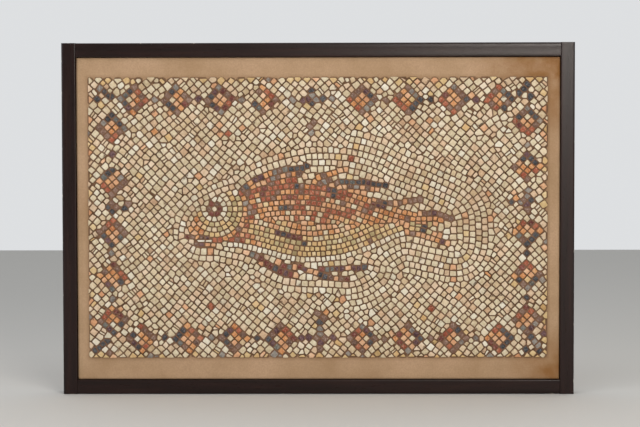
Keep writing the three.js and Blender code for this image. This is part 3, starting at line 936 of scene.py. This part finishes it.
def mix_for(stone):
    """The mix that a stone's place calls for."""
    role = stone.role
    own_mix = ("eye", "eye_rim", "cheek_white", "mouth", "ground", "belly_0")
    if not stone.piece.startswith("fish_") or role in own_mix:
        return role
    chosen = next((mix for start, mix in ROW_MIXES.items() if role.startswith(start)), role)
    if role != "fin_stone":
        for line, reach, mix in strokes:
            if distance_to(line, (stone.x, stone.z))[0] < reach:
                chosen = mix
    return chosen


kinds = []
for stone, _ in laid:
    mix = MIXES[mix_for(stone)]
    kinds.append(chance.choice(list(mix), p=np.array(list(mix.values())) / sum(mix.values())))
laid_places = np.array([(s.x, s.z) for s, _ in laid])
for x, z, kind in SCATTERED:
    kinds[int(np.hypot(*(laid_places - (x, z)).T).argmin())] = kind
print("stones of each kind:", dict(Counter(map(str, kinds))))

# %% [markdown]
# ## The stones' finishes
# One recipe serves every kind. A stone's own tone is a number painted on its faces when it is
# made, so neighbours differ. Mottling a few millimetres across and finer pits break up each
# face, and old brown mortar sits in the pits. On the flanks, where the surface turns away from
# the front, the same brown stands both for mortar and for painted shade in the joints between
# stones. Worn limestone is matt: a high roughness and only a slight gloss.

# %% The stones' finishes
MOTTLE_MM = 4.0
FLECK_MM = 2.6
PIT_MM = 0.9  # real pits are finer; these are drawn just coarse enough to show
GRIME_MM = 90.0
# old mortar's brown, in the pits; on the flanks it is also painted shade in the joints
MORTAR_AND_SHADE_BROWN = "#6f5039"


def stone_finish(name, dark, middle, light, roughness, fleck=None):
    """A worn stone: own tone, mottling, flecks, mortar in its pits, mortar and painted shade on its flanks.
    """
    made, tree, shader, places = new_material(name)
    mottle = grain(tree, places, MOTTLE_MM)
    patchy = rescale(tree, mottle, 0.3, 0.7, -0.28, 0.28)
    own_tone = {0: painted(tree, "tone"), 1: patchy}
    level = add(tree, "ShaderNodeMath", operation="ADD", links=own_tone).outputs[0]
    body = ramp(tree, level, [(0.0, dark), (0.5, middle), (1.0, light)])
    warmth = painted(tree, "warmth")
    warm = mix_colour(tree, rescale(tree, warmth, 0.5, 1.0, 0.0, 0.4), body, "#e8c9a8", "MULTIPLY")
    cool = mix_colour(tree, rescale(tree, warmth, 0.5, 0.0, 0.0, 0.25), warm, "#cfd0c0", "MULTIPLY")
    flecks = grain(tree, places, FLECK_MM, detail=2.0)
    flecked = mix_colour(tree, rescale(tree, flecks, 0.5, 0.68, 0.0, 0.7), cool, fleck) if fleck else cool
    pits = grain(tree, places, PIT_MM, detail=2.0)
    pitted = mix_colour(tree, rescale(tree, pits, 0.34, 0.22, 0.0, 0.55), flecked, MORTAR_AND_SHADE_BROWN)
    grime = grain(tree, places, GRIME_MM, detail=4.0)
    soiled = mix_colour(tree, rescale(tree, grime, 0.45, 0.75, 0.0, 0.3), pitted, "#a98b63", "MULTIPLY")
    # painted shade: faces turned away from the front (the flanks in the joints) go towards mortar brown, as
    # mortar and as shade
    normal = add(tree, "ShaderNodeNewGeometry").outputs["Normal"]
    facing = add(tree, "ShaderNodeSeparateXYZ", links={0: normal}).outputs["Y"]
    flanks_mortared_and_shaded = mix_colour(tree, rescale(tree, facing, -0.85, -0.2, 0.0, 0.8), soiled, MORTAR_AND_SHADE_BROWN)
    dress(tree, shader, flanks_mortared_and_shaded, pits, 0.5, 0.25 * MM, 0.35)
    sheen = rescale(tree, mottle, 0.2, 0.8, roughness - 0.1, roughness + 0.12)
    tree.links.new(sheen, shader.inputs["Roughness"])
    shader.inputs["IOR"].default_value = 1.5
    return made


finishes = {kind: stone_finish(*recipe) for kind, recipe in KINDS.items()}
print("stone finishes:", len(finishes))

# %% [markdown]
# ## Modelling the stones
# Every stone of one piece is made at once. Each starts as a flat face with the trimmed outline,
# its corners knocked a little off. All faces are extruded to their own heights and set slightly
# out of level. An inset gives each a worn edge and a poked middle gives a soft crown. The side
# walls keep flat shading, which leaves a crisp line where the wear ends.

# %% Modelling the stones
STONE_BACK_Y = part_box("field_courses")[1].y
STONE_FACE_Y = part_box("field_courses")[0].y
WORN_EDGE = 0.45 * MM
WORN_DEPTH = 0.28 * MM
CROWN = 0.12 * MM
OUT_OF_LEVEL = 0.022


def knocked_corners(outline):
    """A hand-cut outline: some corners lost, and the sides not quite straight."""
    shaped = []
    for i, (x, z) in enumerate(outline):
        before = Vector(outline[i - 1]) - Vector((x, z))
        after = Vector(outline[(i + 1) % len(outline)]) - Vector((x, z))
        room = min(before.length, after.length)
        loss = min(chance.uniform(0.3, 1.6), 0.3 * room)
        corner = Vector((x, z))
        if room < 1.2 or chance.random() < 0.4:
            shaped.append(corner + (before.normalized() + after.normalized()) * 0.2 * loss)
        else:
            shaped.append(corner + before.normalized() * loss)
            shaped.append(corner + after.normalized() * loss)
        if after.length > 6 and chance.random() < 0.35:
            bulge = Vector((after.y, -after.x)).normalized() * chance.normal(-0.15, 0.2)
            shaped.append(corner + after * chance.uniform(0.4, 0.6) + bulge)
    return shaped


def set_down(piece, form, finish_list):
    """Turns a form into an object that rides on the body and stands for its solid."""
    mesh = bpy.data.meshes.new(piece)
    form.to_mesh(mesh)
    form.free()
    for finish in finish_list:
        mesh.materials.append(finish)
    made = bpy.data.objects.new(piece + "_detail", mesh)
    bpy.context.scene.collection.objects.link(made)
    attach(made, "root")
    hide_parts(piece)
    return made


def model_stones(piece, chosen):
    """All the stones of one piece, as separate closed shapes in one mesh."""
    form = bmesh.new()
    tone_layer = form.faces.layers.float.new("tone")
    warmth_layer = form.faces.layers.float.new("warmth")
    number = form.faces.layers.int.new("number")
    used = sorted({str(kind) for _, _, kind in chosen})
    settings = []
    for stone, outline, kind in chosen:
        x, z = stone.x, stone.z
        corners = knocked_corners(outline)
        places = [((x + u) * MM, STONE_BACK_Y, (z + v) * MM) for u, v in corners]
        face = form.faces.new([form.verts.new(place) for place in places])
        face.material_index = used.index(kind)
        face[tone_layer] = float(np.clip(chance.normal(0.52, 0.17), 0.05, 0.98))
        face[warmth_layer] = float(chance.random())
        face[number] = len(settings)
        height = STONE_FACE_Y + WORN_DEPTH + chance.normal(0, 0.16) * MM
        settings.append((x * MM, z * MM, height, *chance.normal(0, OUT_OF_LEVEL, 2)))
    risen = bmesh.ops.extrude_face_region(form, geom=list(form.faces), use_keep_orig=True)
    tops = [part for part in risen["geom"] if isinstance(part, bmesh.types.BMFace)]
    for top in tops:
        x, z, height, tilt_x, tilt_z = settings[top[number]]
        for vert in top.verts:
            vert.co.y = height + (vert.co.x - x) * tilt_x + (vert.co.z - z) * tilt_z
    bmesh.ops.recalc_face_normals(form, faces=form.faces)
    bmesh.ops.inset_individual(form, faces=tops, thickness=WORN_EDGE, depth=WORN_DEPTH)
    crowns = bmesh.ops.poke(form, faces=tops, offset=CROWN)
    for face in crowns["faces"]:
        face.smooth = True
    form.faces.layers.int.remove(number)
    return set_down(piece, form, [finishes[kind] for kind in used])


by_piece = {}
for (stone, outline), kind in zip(laid, kinds):
    by_piece.setdefault(stone.piece, []).append((stone, outline, str(kind)))
stonework = [model_stones(piece, chosen) for piece, chosen in by_piece.items()]
faces = {o.name: len(o.data.polygons) for o in stonework}
print("pieces of stonework:", len(stonework), "most faces:", max(faces.items(), key=lambda item: item[1]))

# %% [markdown]
# ## The mortar bed
# Behind the stones lies one slab of mortar. Outside the mosaic its face is sanded flat and tan,
# with brown stains at the right-hand corners. Between the stones it stands higher and is darker,
# a brown joint mortar. A narrow strip round the mosaic is painted darker brown as well: it stands
# both for mortar stains and for painted shade along the raised edge of the stones. A fine grid
# is bent to those levels. How near each of its points is to a stone and to the mosaic's edge,
# and how stained it is, are painted on it as numbers, which the finish then reads.

# %% The mortar bed
BED_CELL = 3.0
JOINT_RISE = 1.5 * MM
SANDED_BELOW = 0.3 * MM
HIGHEST = 2.2 * MM
bed_low, bed_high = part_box("mortar_bed")
LIP = 1.0 * MM
FACE_LAYER = 5.0 * MM
half_wide = bed_high.x - LIP
half_tall = bed_high.z - LIP
DEEP_KINDS = ("red", "oxblood", "brown", "plum", "basalt", "slate", "grey")
STAINS = [
    # the stain's middle, how far it reaches and how strong it is
    (400, 262, 120, 1.3), (405, -268, 75, 1.0), (330, 268, 40, 0.5), (404, 120, 30, 0.3),
    (-404, 30, 40, 0.25),
]
bed_form = bmesh.new()
joint_layer = bed_form.verts.layers.float.new("joint")
strip_shade_and_stain_layer = bed_form.verts.layers.float.new("edge_shade_and_stain")
pale_layer = bed_form.verts.layers.float.new("pale_joint")
stain_layer = bed_form.verts.layers.float.new("stain")
cells_wide = int(2 * half_wide / MM / BED_CELL)
cells_tall = int(2 * half_tall / MM / BED_CELL)
bmesh.ops.create_grid(bed_form, x_segments=cells_wide, y_segments=cells_tall, size=1.0)
bmesh.ops.scale(bed_form, verts=bed_form.verts, vec=(half_wide, half_tall, 1))
for vert in bed_form.verts:
    vert.co = Vector((vert.co.x, bed_low.y, vert.co.y))
near = search_tree([(stone.x, stone.z) for stone, _ in laid])


def hold(value):
    """A number kept between nothing and one."""
    return min(1.0, max(0.0, value))


for vert in bed_form.verts:
    x, z = vert.co.x / MM, vert.co.z / MM
    _, nearest, gap = near.find((x, z, 0))
    beyond = max(normal[0] * x + normal[1] * z - limit for normal, limit in EDGES)
    vert[joint_layer] = hold((9.0 - gap) / 3.0) * hold(0.6 - beyond / 3.0)
    # painted shade and stain: one over the mosaic, fading to nothing 7 mm beyond its edge
    vert[strip_shade_and_stain_layer] = hold(1.0 - beyond / 7.0)
    vert[pale_layer] = 1.0 if kinds[nearest] in DEEP_KINDS else 0.0
    for stain_x, stain_z, reach, strength in STAINS:
        spread = math.hypot(x - stain_x, z - stain_z) / reach
        vert[stain_layer] = max(vert[stain_layer], strength * hold(1.2 - spread))
edge = [e for e in bed_form.edges if e.is_boundary]
for back_to, grow_by in ((bed_low.y + FACE_LAYER, 0), (bed_low.y + FACE_LAYER, LIP), (0.0, 0)):
    out = bmesh.ops.extrude_edge_only(bed_form, edges=edge)["geom"]
    edge = [part for part in out if isinstance(part, bmesh.types.BMEdge) and part.is_boundary]
    for vert in {v for e in edge for v in e.verts}:
        vert.co.y = back_to
        vert.co.x += math.copysign(grow_by, vert.co.x) if abs(vert.co.x) > half_wide - 1e-6 else 0
        vert.co.z += math.copysign(grow_by, vert.co.z) if abs(vert.co.z) > half_tall - 1e-6 else 0
bmesh.ops.holes_fill(bed_form, edges=edge, sides=0)
bmesh.ops.recalc_face_normals(bed_form, faces=bed_form.faces)
for vert in bed_form.verts:
    if vert.co.y < bed_low.y + 1e-6:
        rough = noise.noise(vert.co * 160) * 0.12 + noise.noise(vert.co * 18) * 0.25
        level = rough * MM * (1 - vert[joint_layer]) - JOINT_RISE * vert[joint_layer]
        sanded_y = bed_low.y + level + SANDED_BELOW * (1 - vert[joint_layer])
        vert.co.y = max(bed_low.y - HIGHEST, sanded_y)
for face in bed_form.faces:
    face.smooth = face.normal.y < -0.5

bed_finish, tree, shader, places = new_material("lime mortar, sanded, with brown joints")
clouds = grain(tree, places, 70.0, detail=4.0)
sanded = ramp(tree, clouds, [(0.3, "#a88a69"), (0.5, "#b49676"), (0.7, "#be9f80")])
sand = grain(tree, places, 2.4, detail=3.0)
speckled = mix_colour(tree, rescale(tree, sand, 0.3, 0.7, 0.0, 0.42), sanded, "#94765a")
blotches = rescale(tree, grain(tree, places, 30.0, detail=5.0), 0.3, 0.7, 0.3, 1.0)
stained = mix_colour(tree, times(tree, painted(tree, "stain"), blotches), speckled, "#8a6138")
# painted shade: the strip round the mosaic goes darker brown, for the stones' raised edge and for mortar
# stains
strip_shade_and_stain_share = rescale(tree, painted(tree, "edge_shade_and_stain"), 0.2, 1.0, 0.0, 0.35)
strip_shaded_and_stained = mix_colour(tree, strip_shade_and_stain_share, stained, "#8a694a")
joint_tone = ramp(tree, grain(tree, places, 25.0), [(0.3, "#5d4330"), (0.7, "#7d604a")])
joint_here = mix_colour(tree, painted(tree, "pale_joint"), joint_tone, "#84644e")
in_joint = rescale(tree, painted(tree, "joint"), 0.35, 0.75, 0.0, 1.0)
dress(tree, shader, mix_colour(tree, in_joint, strip_shaded_and_stained, joint_here), sand, 0.4, 0.4 * MM, 0.2)
shader.inputs["Roughness"].default_value = 0.95
bed = set_down("mortar_bed", bed_form, [bed_finish])
print("mortar bed faces:", len(bed.data.polygons))

# %% [markdown]
# ## The frame
# Four lengths of one moulding, the upright ones running the full height. Each is its section
# pushed along in short steps, so that the outer edge can carry the small dents and chips that
# years of handling leave, where the dark stain is gone and pale wood shows.

# %% The frame
RAIL_STEP = 2.5
SECTION = [
    # from the opening outwards, and from the wall to the face
    (0, 0), (23, 0), (24, 1), (24, 20), (24, 37), (23.9, 39), (23.6, 40.6), (23.2, 41.3),
    (22.5, 41.7), (21, 42), (16, 41.9), (11, 41.8), (6, 41.9), (1.6, 42), (0.8, 41.9), (0.3, 41.6),
    (0, 40.8),
]
OPENING = (822.0, 549.0)
FRAME_HEIGHT = 597
FIT = 0.3
OUTER_X = 433.5
OUTER_Z = 297.0
NEAR_FACE_Y = -36
CHIP_DEPTH = 0.7
DENT_DEPTH = 0.8
CHIPS = [
    # the chip's middle and its reach
    (-423, 297, 5), (-434, 268, 3), (-434, 214, 3), (-434, 166, 2.5), (-434, 120, 2.5), (-434, 58, 3),
    (-434, 40, 4), (-434, -40, 3), (-434, -130, 3), (-420, -297, 5), (-436, -262, 3), (398, -297, 5),
    (434, -277, 5), (434, -55, 4), (434, 130, 2.5), (120, 297, 2.5), (-210, 297, 4), (-300, 297, 3),
    (-60, -297, 3), (434, -180, 3),
]


def stained_wood(name, along):
    """Close-grained wood under a dark stain and a thin satin varnish; chips show the bare wood."""
    made, tree, shader, places = new_material(name)
    stretch = (1, 1, 0.06) if along == "z" else (0.06, 1, 1)
    drawn = add(tree, "ShaderNodeMapping", {"Scale": stretch}, {"Vector": places}).outputs[0]
    fibres = grain(tree, drawn, 1.2, detail=4.0)
    figure = grain(tree, drawn, 9.0, detail=3.0)
    base = ramp(tree, figure, [(0.3, "#1a0d09"), (0.55, "#241310"), (0.75, "#2e1b15")])
    lined = mix_colour(tree, rescale(tree, fibres, 0.35, 0.65, 0.0, 0.35), base, "#120907")
    ragged = times(tree, painted(tree, "chip"), grain(tree, places, 1.5))
    chipped = mix_colour(tree, rescale(tree, ragged, 0.3, 0.42, 0.0, 1.0), lined, "#b8ab98")
    dress(tree, shader, chipped, fibres, 0.25, 0.1 * MM, 0.26)
    tree.links.new(rescale(tree, fibres, 0.3, 0.7, 0.26, 0.36), shader.inputs["Roughness"])
    return made


def model_rail(piece, length, turn, offset, finish):
    """One length of moulding: drawn along x, then turned and set in its place."""
    form = bmesh.new()
    chip_layer = form.verts.layers.float.new("chip")
    places = [(-length / 2 * MM, -v * MM, u * MM) for u, v in SECTION]
    section = form.faces.new([form.verts.new(place) for place in places])
    steps = int(length / RAIL_STEP)
    bmesh.ops.spin(
        form, geom=[section, *section.edges, *section.verts], cent=(0, 0, 0), axis=(0, 1, 0),
        dvec=(length / steps * MM, 0, 0), angle=0, steps=steps, use_duplicate=False, use_merge=False,
    )
    bmesh.ops.translate(form, verts=form.verts, vec=(0, 0, offset * MM))
    bmesh.ops.rotate(form, verts=form.verts, cent=(0, 0, 0), matrix=Quaternion((0, 1, 0), turn).to_matrix())
    bmesh.ops.recalc_face_normals(form, faces=form.faces)
    for vert in form.verts:
        x, y, z = vert.co / MM
        if (abs(x) > OUTER_X or abs(z) > OUTER_Z) and y < NEAR_FACE_Y:
            for cx, cz, size in CHIPS:
                gap = math.hypot(x - cx, z - cz) / size
                if gap < 1:
                    vert[chip_layer] = max(vert[chip_layer], 1 - gap * 0.5)
                    vert.co.y += (1 - gap) * CHIP_DEPTH * MM
            vert.co.y += max(0.0, noise.noise(vert.co * 90) - 0.25) * DENT_DEPTH * MM
    for face in form.faces:
        face.smooth = True
    made = set_down(piece, form, [finish])
    made.data.set_sharp_from_angle(angle=math.radians(35))
    return made


stile_wood = stained_wood("dark stained wood, satin, upright grain", "z")
rail_wood = stained_wood("dark stained wood, satin, level grain", "x")
rails = [
    model_rail("frame_top_rail", OPENING[0] - 2 * FIT, 0, OPENING[1] / 2, rail_wood),
    model_rail("frame_bottom_rail", OPENING[0] - 2 * FIT, math.pi, OPENING[1] / 2, rail_wood),
    model_rail("frame_right_stile", FRAME_HEIGHT, math.pi / 2, OPENING[0] / 2, stile_wood),
    model_rail("frame_left_stile", FRAME_HEIGHT, -math.pi / 2, OPENING[0] / 2, stile_wood),
]
for rail in rails:
    print(rail.name, "faces:", len(rail.data.polygons))
